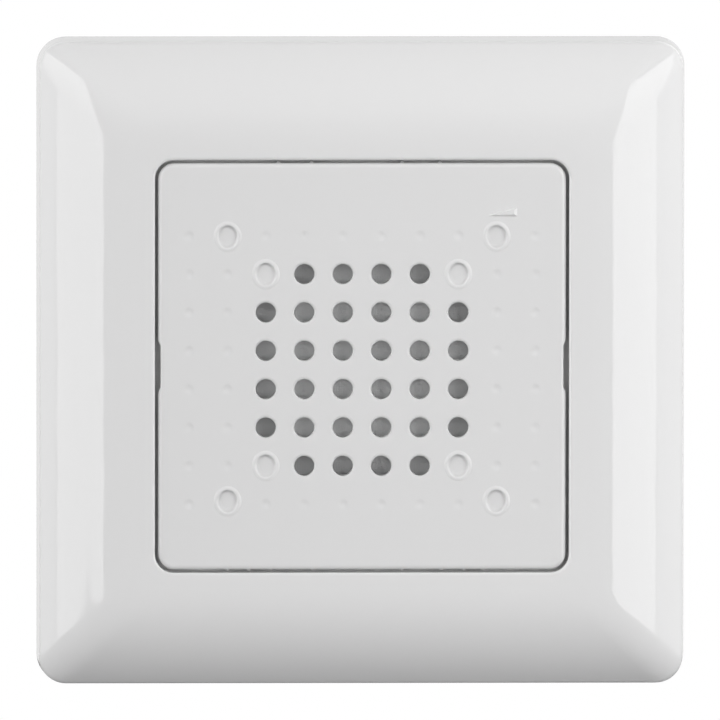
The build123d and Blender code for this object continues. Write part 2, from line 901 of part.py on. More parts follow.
def speaker_tag_board():
    """A small fibre board under the basket's seat, where the leads are soldered."""
    top = basket_seat_height - basket_sheet
    board = bar(tag_width, tag_length, top - tag_thickness, top, 0, tag_middle())
    nick = bar(tag_width / 4, tag_width / 4, top - tag_thickness, top, 0, tag_middle() - tag_length / 2)
    return board - nick


def tag_middle():
    return -(basket_neck_radius + basket_sheet + tag_length / 2)


# Wires

def wire(points, radius):
    """A round wire along straight runs that are joined by arcs as wide as the runs allow."""
    vectors = [Vector(*point) for point in points]
    bends = []
    for before, corner, after in zip(vectors, vectors[1:], vectors[2:]):
        turn = math.radians((corner - before).get_angle(after - corner))
        run = min((corner - before).length, (after - corner).length)
        bends.append(bend_share * run / math.tan(turn / 2))
    path = FilletPolyline(*points, radius=bends)
    print("wire bends, in diameters:", [round(bend / radius / 2, 1) for bend in bends])
    start = Plane(origin=path @ 0, z_dir=path % 0)
    return sweep(start * Circle(radius), path)


def speaker_leads():
    """Two wires from the tag board straight back to the circuit board, spread by one gentle bend."""
    top = basket_seat_height - basket_sheet - tag_thickness
    run = (top - board_front) / 3
    y = tag_middle() - tag_length / 4
    leads = []
    for side in (-1, 1):
        near = side * tag_lead_spacing / 2
        far = near + side * speaker_lead_shift
        route = [(near, y, top), (near, y, top - run), (far, y, board_front + run), (far, y, board_front)]
        leads.append(wire(route, speaker_lead_radius))
    return leads


def volume_lead_height():
    return (ring_thickness + carrier_inner_height) / 2


def volume_leads():
    """Three thin wires from the trimmer, in under the neck and back to the circuit board."""
    height = volume_lead_height()
    start = volume_x - trimmer_side / 2
    turn = start - volume_lead_run
    run = (height - board_front) / 3
    leads = []
    for place in (-1, 0, 1):
        y = volume_y + place * volume_lead_spacing
        points = [
            (start, y, height),
            (turn, y, height),
            (turn, y + volume_lead_swerve / 2, height - run),
            (turn + volume_lead_swerve, y, height - 2 * run),
            (turn + volume_lead_swerve, y - volume_lead_swerve / 2, board_front),
        ]
        leads.append(wire(points, volume_lead_radius))
    return leads


# Volume trimmer

def rotor_floor_height():
    """The bottom of the rotor's socket, halfway through the trimmer's body."""
    return (ring_thickness + trimmer_rear_gap + carrier_inner_height) / 2


def volume_trimmer():
    body = bar(trimmer_side, trimmer_side, ring_thickness + trimmer_rear_gap, carrier_inner_height)
    body = chamfer(body.edges().filter_by(Axis.Z), trimmer_rear_gap)
    socket = disc(rotor_radius + running_gap, rotor_floor_height(), carrier_inner_height)
    return Pos(volume_x, volume_y, 0) * (body - socket)


def volume_rotor():
    top = carrier_front - rotor_sink
    rotor = disc(rotor_radius, rotor_floor_height() + running_gap, top)
    rotor -= bar(2 * rotor_radius, rotor_slot_width, top - rotor_slot_depth, top)
    return Pos(volume_x, volume_y, 0) * rotor


# Circuit board

def circuit_board():
    board = slab(housing_outline(housing_wall + board_gap), board_back, board_front)
    hole = disc(board_screw_radius + seat_gap, board_back, board_front)
    return board - [Pos(side * board_post_x, board_post_y, 0) * hole for side in (-1, 1)]


def board_screws():
    top = board_front + board_head_height
    head = slotted(disc(board_head_radius, board_front, top), top)
    screw = head + disc(board_screw_radius, board_front - board_screw_length, board_front)
    return [Pos(side * board_post_x, board_post_y, 0) * screw for side in (-1, 1)]


def capacitor(radius, length):
    """An electrolytic can, standing on the rear of the board, with a rolled groove near its foot."""
    can = disc(radius, board_back - length, board_back)
    can = fillet(can.faces().sort_by(Axis.Z)[0].edges(), capacitor_neck)
    groove_top = board_back - 4 * capacitor_neck
    groove_low = groove_top - 2 * capacitor_neck
    return can - washer(radius + overrun, radius - capacitor_neck, groove_low, groove_top)


def above_chips(radius):
    """How far up the board a part stands that clears the row of chips by its own standoff."""
    return board_post_y + board_post_radius + chip_pin_reach + chip_standoff + radius


def capacitors():
    length = board_back - housing_floor - capacitor_floor_gap
    big = capacitor(big_capacitor_radius, length)
    small = capacitor(small_capacitor_radius, length - small_capacitor_drop)
    return [
        Pos(big_capacitor_x, above_chips(big_capacitor_radius), 0) * big,
        Pos(small_capacitor_x, above_chips(big_capacitor_radius), 0) * small,
    ]


def chip(length, pins):
    """A two-row package on the rear of the board, with its pins bent down to it."""
    near = board_back - chip_standoff
    body = bar(length, chip_width, near - chip_height, near)
    body -= Pos(-length / 2, 0, 0) * disc(chip_notch_radius, near - chip_height, near - chip_height / 2)
    first = -(pins - 1) / 2
    legs = []
    for pin in range(pins):
        x = (first + pin) * chip_pin_pitch
        for side in (-1, 1):
            y = side * (chip_width + chip_pin_reach) / 2
            legs.append(bar(chip_pin_width, chip_pin_reach, near - chip_height / 2, board_back, x, y))
    return body + legs


def chip_row(x):
    return Pos(x, board_post_y - chip_width / 2 + board_post_radius, 0)


def melody_chip():
    return chip_row(-chip_length / 2 - chip_standoff) * chip(chip_length, 4)


def amplifier_chip():
    return chip_row(chip_length / 2 + chip_standoff) * chip(chip_length, 4)


def bridge_rectifier():
    half = chip_width / 2 + chip_pin_reach
    return Pos(rectifier_x, above_chips(half), 0) * chip(rectifier_length, 2)


def resistors():
    """A row of wired resistors between the chips and the terminals."""
    middle = board_back - resistor_height
    y = terminal_step_y + housing_wall + resistor_length / 2 + resistor_radius
    body = rod(resistor_radius, resistor_length, 0, middle)
    lead = rod(resistor_lead_radius, resistor_length + 2 * resistor_radius, 0, middle)
    drop = disc(resistor_lead_radius, middle - resistor_lead_radius, board_back)
    end = resistor_length / 2 + resistor_radius - resistor_lead_radius
    resistor = body + lead + [Pos(0, side * end, 0) * drop for side in (-1, 1)]
    first = -(resistor_count - 1) / 2
    return [Pos((first + step) * resistor_pitch, y, 0) * resistor for step in range(resistor_count)]


# Screw terminals

def at_terminals(piece):
    first = -(terminal_count - 1) / 2
    return [Pos((first + step) * terminal_pitch, terminal_y, 0) * piece for step in range(terminal_count)]


def wire_height():
    """Height of the middle of the wire window in a clamping cage."""
    return terminal_rear + cage_sink + cage_length - cage_wall - wire_hole_radius


def terminal_block():
    block = bar(terminal_width, terminal_height, terminal_rear, board_back, 0, terminal_y)
    well = bar(terminal_well_width, terminal_well_height, terminal_rear, terminal_rear + terminal_well_depth)
    entry = Pos(0, -terminal_height / 2, 0) * rod(wire_hole_radius, terminal_height, 0, wire_height())
    return block - at_terminals(well) - at_terminals(entry)


def terminal_cages():
    low = terminal_rear + cage_sink
    width = terminal_well_width - 2 * cage_gap
    cage = bar(width, terminal_well_height - 2 * cage_gap, low, low + cage_length)
    window = bar(width - 2 * cage_wall, terminal_well_height, -wire_hole_radius, wire_hole_radius)
    cage -= Pos(0, 0, wire_height()) * window
    cage -= disc(terminal_screw_radius, low, wire_height())
    return at_terminals(cage)


def terminal_screws():
    head_low = terminal_rear + loose_gap
    head = disc(terminal_head_radius, head_low, head_low + terminal_head_height)
    head -= bar(2 * terminal_head_radius, screw_slot_width, head_low, head_low + screw_slot_depth)
    tip = wire_height() - wire_hole_radius + terminal_screw_radius / 2
    return at_terminals(head + disc(terminal_screw_radius, head_low + terminal_head_height, tip))


# Spreading claws, drawn on the right-hand side

def claw():
    """Bent sheet steel: a knuckle on the pin, a forked foot at the nut, and a web with two teeth."""
    foot_end = claw_screw_x + claw_foot_overhang
    knuckle = rod(claw_knuckle_radius, 2 * claw_half_width, claw_pivot_x, claw_pivot_height)
    foot = Pos(0, 0, claw_pivot_height) * bar(
        foot_end - claw_pivot_x,
        2 * claw_half_width,
        -claw_sheet / 2,
        claw_sheet / 2,
        (foot_end + claw_pivot_x) / 2,
    )
    inner_face = claw_pivot_x - claw_knuckle_radius
    end = claw_pivot_height - claw_length
    web = bar(claw_sheet, 2 * claw_half_width, end, claw_pivot_height, inner_face + claw_sheet / 2)
    body = knuckle + foot + web + claw_teeth(inner_face, end)
    body -= rod(claw_pin_radius + running_gap, 2 * claw_half_width, claw_pivot_x, claw_pivot_height)
    slot_start = claw_pivot_x + claw_knuckle_radius
    slot_width = 2 * (claw_screw_radius + claw_slot_gap)
    fork = bar(foot_end - slot_start, slot_width, -claw_sheet, claw_sheet, (foot_end + slot_start) / 2)
    return body - Pos(0, 0, claw_pivot_height) * fork


def claw_teeth(inner_face, end):
    """Two pointed teeth, bent out from the end of the web."""
    tip = inner_face + claw_tooth_reach
    shoulder = tip - claw_tooth_width / 2
    outer = claw_half_width
    inner = claw_half_width - claw_tooth_width
    tooth = make_face(
        Polyline(
            (inner_face, inner),
            (shoulder, inner),
            (tip, (inner + outer) / 2),
            (shoulder, outer),
            (inner_face, outer),
            close=True,
        )
    )
    upper = slab(tooth, end, end + claw_sheet)
    return [upper, mirror(upper, about=Plane.XZ)]


def claw_nut():
    """A barrel nut behind the foot of the claw. Its thread is drawn as a plain bore."""
    height = claw_pivot_height - claw_nut_offset
    bore = Pos(claw_screw_x, 0, 0) * disc(
        claw_screw_radius + running_gap, height - claw_nut_radius, height + claw_nut_radius
    )
    return rod(claw_nut_radius, claw_nut_length, claw_screw_x, height) - bore


def claw_screw():
    top = ring_thickness + claw_head_height
    head = slotted(disc(claw_head_radius, ring_thickness, top), top)
    shank = disc(claw_screw_radius, ring_thickness - claw_screw_length, ring_thickness)
    shank = chamfer(shank.faces().sort_by(Axis.Z)[0].edges(), claw_screw_radius / 4)
    return Pos(claw_screw_x, 0, 0) * (head + shank)


def claw_pins():
    length = 2 * (claw_half_width + ear_gap + ear_thickness)
    right = rod(claw_pin_radius, length, claw_pivot_x, claw_pivot_height)
    return [right, mirrored(right)]


def print_claw_motion():
    """How far the nut travels, and the screw turns, for the full swing of a claw."""
    swing = math.radians(claw_swing)
    reach = claw_nut_offset - claw_contact_gap
    travel = reach - (reach - claw_arm * math.sin(swing)) / math.cos(swing)
    print("claw nut travel:", round(travel, 4), "mm, screw turn:", round(360 * travel / claw_screw_pitch, 2))
    print("claw pivot x and depth:", claw_pivot_x, claw_pivot_depth)


NODES = {
    "frame": frame,
    "centre_cover": centre_cover,
    "dust_cloth": dust_cloth,
    "support_ring": support_ring,
    "insert_carrier": insert_carrier,
    "clamp_screws": lambda: at_corners(clamp_screw(), clamp_screw_x, clamp_screw_y),
    "cover_springs": lambda: at_legs(leg_spring()),
    "rear_housing": rear_housing,
    "speaker_basket": speaker_basket,
    "pole_plate": pole_plate,
    "speaker_magnet": speaker_magnet,
    "speaker_yoke": speaker_yoke,
    "coil_former": coil_former,
    "coil_winding": coil_winding,
    "speaker_cone": speaker_cone,
    "dust_cap": dust_cap,
    "cone_surround": cone_surround,
    "speaker_spider": speaker_spider,
    "speaker_gasket": speaker_gasket,
    "speaker_tag_board": speaker_tag_board,
    "speaker_leads": speaker_leads,
    "volume_trimmer": volume_trimmer,
    "volume_rotor": volume_rotor,
    "volume_leads": volume_leads,
    "circuit_board": circuit_board,
    "board_screws": board_screws,
    "capacitors": capacitors,
    "melody_chip": melody_chip,
    "amplifier_chip": amplifier_chip,
    "bridge_rectifier": bridge_rectifier,
    "resistors": resistors,
    "terminal_block": terminal_block,
    "terminal_cages": terminal_cages,
    "terminal_screws": terminal_screws,
    "claw_right": claw,
    "claw_left": lambda: mirrored(claw()),
    "claw_nut_right": claw_nut,
    "claw_nut_left": lambda: mirrored(claw_nut()),
    "claw_screw_right": claw_screw,
    "claw_screw_left": lambda: mirrored(claw_screw()),
    "claw_pins": claw_pins,
}

os.makedirs("parts", exist_ok=True)
for name, make in NODES.items():
    made = make()
    solids = made if isinstance(made, list) else [made]
    piece = Compound(children=[solid for group in solids for solid in group.solids()])
    export_step(STAND_UP * piece, f"parts/{name}.step")
print_claw_motion()
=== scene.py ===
import math

import bmesh
import bpy
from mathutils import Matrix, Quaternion, Vector


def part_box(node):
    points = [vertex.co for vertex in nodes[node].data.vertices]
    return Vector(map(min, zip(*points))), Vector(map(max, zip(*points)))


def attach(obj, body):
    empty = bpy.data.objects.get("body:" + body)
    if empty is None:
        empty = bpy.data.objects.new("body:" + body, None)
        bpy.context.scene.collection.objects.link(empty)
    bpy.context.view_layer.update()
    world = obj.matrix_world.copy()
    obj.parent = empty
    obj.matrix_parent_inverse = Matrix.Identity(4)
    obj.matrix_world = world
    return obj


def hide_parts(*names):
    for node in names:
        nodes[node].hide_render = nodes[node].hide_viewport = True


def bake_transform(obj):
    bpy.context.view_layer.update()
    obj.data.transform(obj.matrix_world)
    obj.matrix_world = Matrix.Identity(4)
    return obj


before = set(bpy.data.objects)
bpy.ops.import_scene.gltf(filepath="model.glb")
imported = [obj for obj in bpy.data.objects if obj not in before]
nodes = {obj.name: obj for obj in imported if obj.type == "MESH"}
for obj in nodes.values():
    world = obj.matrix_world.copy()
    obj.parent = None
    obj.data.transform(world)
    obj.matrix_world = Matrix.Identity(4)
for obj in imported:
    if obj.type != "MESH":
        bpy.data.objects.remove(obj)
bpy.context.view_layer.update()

# Camera. It stands well back with a long lens, a little above and a little to the left of the
# chime's middle, so that the raised front sits slightly low in the outline.
camera_distance = 3.2
camera_elevation = 5.05
camera_azimuth = -1.22
camera_roll = 0.05
picture_side = 720.0
outline_share = 647.7 / picture_side
outline_right_of_middle = 0.25 / picture_side
outline_above_middle = 0.8 / picture_side
frame_low, frame_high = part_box("frame")


def toward(azimuth, elevation):
    """The direction from the object to what stands at that azimuth and elevation, in degrees."""
    across, up = math.radians(azimuth), math.radians(elevation)
    return Vector((math.sin(across) * math.cos(up), -math.cos(across) * math.cos(up), math.sin(up)))


toward_camera = toward(camera_azimuth, camera_elevation)
camera_data = bpy.data.cameras.new("camera")
camera = bpy.data.objects.new("camera", camera_data)
bpy.context.scene.collection.objects.link(camera)
camera.location = toward_camera * camera_distance
upright = (-toward_camera).to_track_quat("-Z", "Y")
camera.rotation_euler = (upright @ Quaternion((0, 0, 1), math.radians(camera_roll))).to_euler()
camera_data.sensor_width = 36.0
camera_data.lens = camera_data.sensor_width * outline_share * camera_distance / (frame_high.x - frame_low.x)
camera_data.clip_start = 0.1
camera_data.clip_end = 20.0
camera_data.shift_x = -outline_right_of_middle
camera_data.shift_y = -outline_above_middle
bpy.context.scene.camera = camera
bpy.context.scene.view_settings.view_transform = "Standard"


# Soft boxes. Six of them light the object: one high in front, one behind, and two on each side,
# where the outer ones are weaker and wrap the light round to the frame's edges.
def soft_box(name, azimuth, elevation, distance, spread, height, radiance):
    """An area lamp that faces the object. It is spread degrees wide as the object sees it."""
    lamp = bpy.data.lights.new(name, "AREA")
    lamp.shape = "RECTANGLE"
    lamp.size = 2 * distance * math.tan(math.radians(spread) / 2)
    lamp.size_y = height
    lamp.energy = radiance * math.pi * lamp.size * lamp.size_y
    stand = bpy.data.objects.new(name, lamp)
    bpy.context.scene.collection.objects.link(stand)
    away = toward(azimuth, elevation)
    stand.location = away * distance
    stand.rotation_euler = (-away).to_track_quat("-Z", "Y").to_euler()


soft_box("soft_box_left", azimuth=-54, elevation=8, distance=2.0, spread=48, height=2.4, radiance=2.64)
soft_box("soft_box_far_left", azimuth=-91, elevation=8, distance=2.0, spread=26, height=2.4, radiance=1.6)
soft_box("soft_box_right", azimuth=48.5, elevation=8, distance=0.6, spread=43, height=0.72, radiance=2.7)
soft_box("soft_box_far_right", azimuth=85.5, elevation=9, distance=0.6, spread=31, height=0.72,
         radiance=1.25)
soft_box("soft_box_top", azimuth=0, elevation=54, distance=1.2, spread=50, height=1.7, radiance=0.30)
soft_box("soft_box_rear", azimuth=138, elevation=36, distance=1.2, spread=44, height=0.9, radiance=0.85)

# Studio air. The camera sees plain white round the object, and the object gets a weak light from
# the room, which is stronger behind it than in front.
light_in_front, light_behind = 0.12, 0.8
rise_start, rise_end = 0.1, 0.6
white = (1.0, 1.0, 1.0, 1)
world = bpy.data.worlds.new("studio_air")
bpy.context.scene.world = world
world.use_nodes = True
air = world.node_tree
air.nodes.clear()
ray = air.nodes.new("ShaderNodeLightPath")
clear_view = air.nodes.new("ShaderNodeMath")
clear_view.operation = "MAXIMUM"
air.links.new(ray.outputs["Is Camera Ray"], clear_view.inputs[0])
air.links.new(ray.outputs["Is Transmission Ray"], clear_view.inputs[1])
white_wall = air.nodes.new("ShaderNodeBackground")
white_wall.inputs["Color"].default_value = white
white_wall.inputs["Strength"].default_value = 1.0
room = air.nodes.new("ShaderNodeBackground")
room.inputs["Color"].default_value = white
direction = air.nodes.new("ShaderNodeTexCoord")
direction_axes = air.nodes.new("ShaderNodeSeparateXYZ")
room_light = air.nodes.new("ShaderNodeMapRange")
room_light.interpolation_type = "SMOOTHSTEP"
room_light.inputs["From Min"].default_value = rise_start
room_light.inputs["From Max"].default_value = rise_end
room_light.inputs["To Min"].default_value = light_in_front
room_light.inputs["To Max"].default_value = light_behind
air.links.new(direction.outputs["Generated"], direction_axes.inputs["Vector"])
air.links.new(direction_axes.outputs["Y"], room_light.inputs["Value"])
air.links.new(room_light.outputs["Result"], room.inputs["Strength"])
wall_or_room = air.nodes.new("ShaderNodeMixShader")
air_surface = air.nodes.new("ShaderNodeOutputWorld")
air.links.new(clear_view.outputs[0], wall_or_room.inputs["Fac"])
air.links.new(room.outputs[0], wall_or_room.inputs[1])
air.links.new(white_wall.outputs[0], wall_or_room.inputs[2])
air.links.new(wall_or_room.outputs[0], air_surface.inputs["Surface"])

# Studio floor. A pale matt sheet that keeps the object's shadow. It is open from below, so that the
# object's underside can be seen too.
floor_height = -0.16
floor_half = 1.0
floor_matt_colour = (0.245, 0.245, 0.247, 1)
floor_seen_colour = (0.72, 0.72, 0.72, 1)
floor_mesh = bpy.data.meshes.new("studio_floor")
floor_mesh.from_pydata(
    [(-floor_half, -floor_half, floor_height), (floor_half, -floor_half, floor_height),
     (floor_half, floor_half, floor_height), (-floor_half, floor_half, floor_height)],
    [], [(0, 1, 2, 3)],
)
studio_floor = bpy.data.objects.new("studio_floor", floor_mesh)
bpy.context.scene.collection.objects.link(studio_floor)
floor_paint = bpy.data.materials.new("pale_floor")
floor_paint.use_nodes = True
floor_tree = floor_paint.node_tree
floor_tree.nodes.clear()
floor_ray = floor_tree.nodes.new("ShaderNodeLightPath")
floor_matt = floor_tree.nodes.new("ShaderNodeBsdfDiffuse")
floor_matt.inputs["Color"].default_value = floor_matt_colour
floor_lift = floor_tree.nodes.new("ShaderNodeEmission")
floor_lift.inputs["Color"].default_value = floor_seen_colour
floor_sum = floor_tree.nodes.new("ShaderNodeAddShader")
floor_side = floor_tree.nodes.new("ShaderNodeNewGeometry")
floor_below = floor_tree.nodes.new("ShaderNodeBsdfTransparent")
floor_either = floor_tree.nodes.new("ShaderNodeMixShader")
floor_surface = floor_tree.nodes.new("ShaderNodeOutputMaterial")
floor_tree.links.new(floor_ray.outputs["Is Camera Ray"], floor_lift.inputs["Strength"])
floor_tree.links.new(floor_matt.outputs[0], floor_sum.inputs[0])
floor_tree.links.new(floor_lift.outputs[0], floor_sum.inputs[1])
floor_tree.links.new(floor_side.outputs["Backfacing"], floor_either.inputs["Fac"])
floor_tree.links.new(floor_sum.outputs[0], floor_either.inputs[1])
floor_tree.links.new(floor_below.outputs[0], floor_either.inputs[2])
floor_tree.links.new(floor_either.outputs[0], floor_surface.inputs["Surface"])
floor_mesh.materials.append(floor_paint)


# Cover frame. One injection moulding in white gloss thermoplastic. Its front is polished, so the
# soft boxes show in the bevels, and its rear has ribs that centre it on the ring.
def shader_group(name, inputs, outputs):
    """A new node group with the named sockets. Also gives its ends."""
    group = bpy.data.node_groups.new(name, "ShaderNodeTree")
    for socket, value in inputs.items():
        kind = "NodeSocketColor" if isinstance(value, tuple) else "NodeSocketFloat"
        group.interface.new_socket(socket, in_out="INPUT", socket_type=kind).default_value = value
    for socket, kind in outputs.items():
        group.interface.new_socket(socket, in_out="OUTPUT", socket_type="NodeSocket" + kind)
    return group, group.nodes.new("NodeGroupInput").outputs, group.nodes.new("NodeGroupOutput").inputs


def texture(group, kind, where, **settings):
    """A texture laid out in the object's own metres, stretched by where along x, y and z."""
    place = group.nodes.new("ShaderNodeTexCoord")
    stretch = group.nodes.new("ShaderNodeMapping")
    stretch.inputs["Scale"].default_value = where
    made = group.nodes.new(kind)
    for key, value in settings.items():
        if hasattr(made, key):
            setattr(made, key, value)
        else:
            made.inputs[key.replace("_", " ").title()].default_value = value
    group.links.new(place.outputs["Object"], stretch.inputs["Vector"])
    group.links.new(stretch.outputs["Vector"], made.inputs["Vector"])
    return made.outputs["Fac"]


def combine(group, operation, *values):
    """A maths node fed with sockets or numbers."""
    made = group.nodes.new("ShaderNodeMath")
    made.operation = operation
    for place, value in enumerate(values):
        if isinstance(value, (int, float)):
            made.inputs[place].default_value = value
        else:
            group.links.new(value, made.inputs[place])
    return made.outputs[0]


def blended(group, amount, first, second):
    """A colour between two, by a mask."""
    made = group.nodes.new("ShaderNodeMix")
    made.data_type = "RGBA"
    for socket, value in ((made.inputs["Factor"], amount), (made.inputs[6], first), (made.inputs[7], second)):
        if hasattr(value, "is_linked"):
            group.links.new(value, socket)
        else:
            socket.default_value = value
    return made.outputs[2]


def bumped(group, height, depth, distance, normal=None):
    """A bump of a height field, of at most distance metres, on top of another normal."""
    made = group.nodes.new("ShaderNodeBump")
    made.inputs["Distance"].default_value = distance
    group.links.new(height, made.inputs["Height"])
    group.links.new(depth, made.inputs["Strength"])
    if normal:
        group.links.new(normal, made.inputs["Normal"])
    return made.outputs["Normal"]


def around(group, field, spread, middle):
    """middle + (field - 0.5) * spread, kept between 0 and 1."""
    centred = combine(group, "SUBTRACT", field, 0.5)
    spread_out = combine(group, "MULTIPLY_ADD", centred, spread, middle)
    return combine(group, "MINIMUM", combine(group, "MAXIMUM", spread_out, 0.0), 1.0)


def moulded_skin():
    """Plastic: drifting colour, uneven gloss, soft edges, a faint ripple, and the grain of its mould."""
    ripple_height, grain_height = 0.0002, 0.00006
    group, given, result = shader_group(
        "moulded_skin",
        {"Colour": (0.8, 0.8, 0.8, 1), "Drift Colour": (0.7, 0.7, 0.7, 1), "Drift": 0.1, "Roughness": 0.2,
         "Roughness Spread": 0.05, "Ripple": 0.02, "Grain": 0.0, "Edge": 0.00015},
        {"Colour": "Color", "Roughness": "Float", "Normal": "Vector"},
    )
    edges = group.nodes.new("ShaderNodeBevel")
    edges.samples = 8
    group.links.new(given["Edge"], edges.inputs["Radius"])
    slow = texture(group, "ShaderNodeTexNoise", (45, 45, 45), scale=1.0, detail=3.0)
    fine = texture(group, "ShaderNodeTexNoise", (900, 900, 900), scale=1.0, detail=2.0)
    grain = texture(group, "ShaderNodeTexNoise", (4500, 4500, 4500), scale=1.0, detail=4.0)
    tint = combine(group, "MULTIPLY", slow, given["Drift"])
    group.links.new(blended(group, tint, given["Colour"], given["Drift Colour"]), result["Colour"])
    group.links.new(around(group, fine, given["Roughness Spread"], given["Roughness"]), result["Roughness"])
    rippled = bumped(group, slow, given["Ripple"], ripple_height, edges.outputs["Normal"])
    group.links.new(bumped(group, grain, given["Grain"], grain_height, rippled), result["Normal"])
    return group


def finished(name, group, sockets, **shader_values):
    """A material whose colour, roughness and normal come from a skin group, with the rest on its shader."""
    material = bpy.data.materials.new(name)
    material.use_nodes = True
    tree = material.node_tree
    shader = tree.nodes["Principled BSDF"]
    skin = tree.nodes.new("ShaderNodeGroup")
    skin.node_tree = group
    for socket, value in sockets.items():
        skin.inputs[socket].default_value = value
    tree.links.new(skin.outputs["Colour"], shader.inputs["Base Color"])
    tree.links.new(skin.outputs["Roughness"], shader.inputs["Roughness"])
    tree.links.new(skin.outputs["Normal"], shader.inputs["Normal"])
    for socket, value in shader_values.items():
        shader.inputs[socket.replace("_", " ")].default_value = value
    return material


def dress(material, *names):
    """Give CAD pieces a finish."""
    for name in names:
        for place in nodes[name].material_slots:
            place.material = material


moulded = moulded_skin()
white_gloss = finished(
    "white_gloss_plastic", moulded,
    {"Colour": (0.824, 0.822, 0.822, 1), "Drift Colour": (0.807, 0.805, 0.807, 1), "Drift": 0.6,
     "Roughness": 0.05, "Roughness Spread": 0.03, "Ripple": 0.012, "Grain": 0.0, "Edge": 0.0006},
    IOR=1.5,
)
dress(white_gloss, "frame")

# Centre cover. A thin perforated plate in the same plastic, a little less glossy than the frame and
# plugged into the insert by four legs.
white_cover = finished(
    "white_cover_plastic", moulded,
    {"Colour": (0.806, 0.804, 0.804, 1), "Drift Colour": (0.789, 0.787, 0.789, 1), "Drift": 0.6,
     "Roughness": 0.12, "Roughness Spread": 0.04, "Ripple": 0.012, "Grain": 0.0, "Edge": 0.0006},
    IOR=1.5,
)
dress(white_cover, "centre_cover")


# Volume sign. A small wedge that the mould raises on the cover above the upper right blind, for the
# volume setting behind it.
def add_piece(name, verts, faces, material, body=None, smooth=False):
    """A mesh piece of the object. It rides on a body, if that is given."""
    mesh = bpy.data.meshes.new(name)
    mesh.from_pydata(verts, [], faces)
    mesh.materials.append(material)
    if smooth:
        mesh.polygons.foreach_set("use_smooth", [True] * len(mesh.polygons))
    mesh.update()
    piece = bpy.data.objects.new(name, mesh)
    bpy.context.scene.collection.objects.link(piece)
    if body:
        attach(piece, body)
    return piece


white_sign = finished(
    "white_sign_plastic", moulded,
    {"Colour": (0.824, 0.822, 0.822, 1), "Drift Colour": (0.807, 0.805, 0.807, 1), "Drift": 0.6,
     "Roughness": 0.12, "Roughness Spread": 0.04, "Ripple": 0.012, "Grain": 0.0, "Edge": 0.00002},
    IOR=1.5,
)
cover_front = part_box("centre_cover")[0].y
wedge_left, wedge_right = 0.01555, 0.01915
wedge_low, wedge_high = 0.01850, 0.01962
wedge_tip_height = 0.00022
wedge_rise, wedge_sink = 0.0002, 0.00002
crown_insets = [(0.0006, 0.00022), (-0.0004, 0.00028), (-0.0004, -0.00018), (0.0008, 0.00008)]
wedge_edge = 0.00005
wedge_foot = [(wedge_left, wedge_low), (wedge_right, wedge_low), (wedge_right, wedge_high),
              (wedge_left, wedge_low + wedge_tip_height)]
wedge_verts = [(x, cover_front + wedge_sink, z) for x, z in wedge_foot]
for (x, z), (across, up) in zip(wedge_foot, crown_insets):
    wedge_verts.append((x + across, cover_front - wedge_rise, z + up))
volume_wedge = add_piece(
    "volume_wedge_sign", wedge_verts,
    [(3, 2, 1, 0), (4, 5, 6, 7), (1, 5, 4, 0), (2, 6, 5, 1), (3, 7, 6, 2), (0, 4, 7, 3)],
    white_sign, "cover",
)
softened = volume_wedge.modifiers.new("softened_edges", "BEVEL")
softened.width = wedge_edge
softened.segments = 3

# Blinds. Eight thin spots of the cover that can be pushed through, four in the corners of the hole
# lattice and four farther out. Each has a fine raised bead round its mouth, given here outward from
# the mouth's edge and forward from the plate.
hole_pitch = 0.00474
half_lattice, lattice_drop = 2.5 * hole_pitch, 0.00044
outer_half_spread, outer_half_rise, outer_drop = 0.01655, 0.01635, 0.0003
blind_half_width, blind_half_height = 0.001175, 0.00135
corners = [(side, level) for side in (-1, 1) for level in (-1, 1)]
blind_places = [(side * half_lattice, level * half_lattice - lattice_drop) for side, level in corners]
blind_places += [(side * outer_half_spread, level * outer_half_rise - outer_drop) for side, level in corners]
bead_profile = [(-0.00001, 0.00005), (0.0, 0.0), (0.00005, -0.000034), (0.0001, -0.00006),
                (0.00015, -0.000075), (0.0002, -0.00008), (0.00028, -0.000074), (0.00038, -0.000054),
                (0.00048, -0.000026), (0.00056, 0.00001)]
bead_steps = 40
bead_verts, bead_faces = [], []
for centre_x, centre_z in blind_places:
    first = len(bead_verts)
    for step in range(bead_steps):
        angle = 2 * math.pi * step / bead_steps
        for outward, lift in bead_profile:
            bead_verts.append((centre_x + (blind_half_width + outward) * math.cos(angle), cover_front + lift,
                               centre_z + (blind_half_height + outward) * math.sin(angle)))
    count = len(bead_profile)
    for step in range(bead_steps):
        here, there = first + step * count, first + (step + 1) % bead_steps * count
        for place in range(count - 1):
            bead_faces.append((here + place, there + place, there + place + 1, here + place + 1))
add_piece("blind_beads", bead_verts, bead_faces, white_sign, "cover", smooth=True)


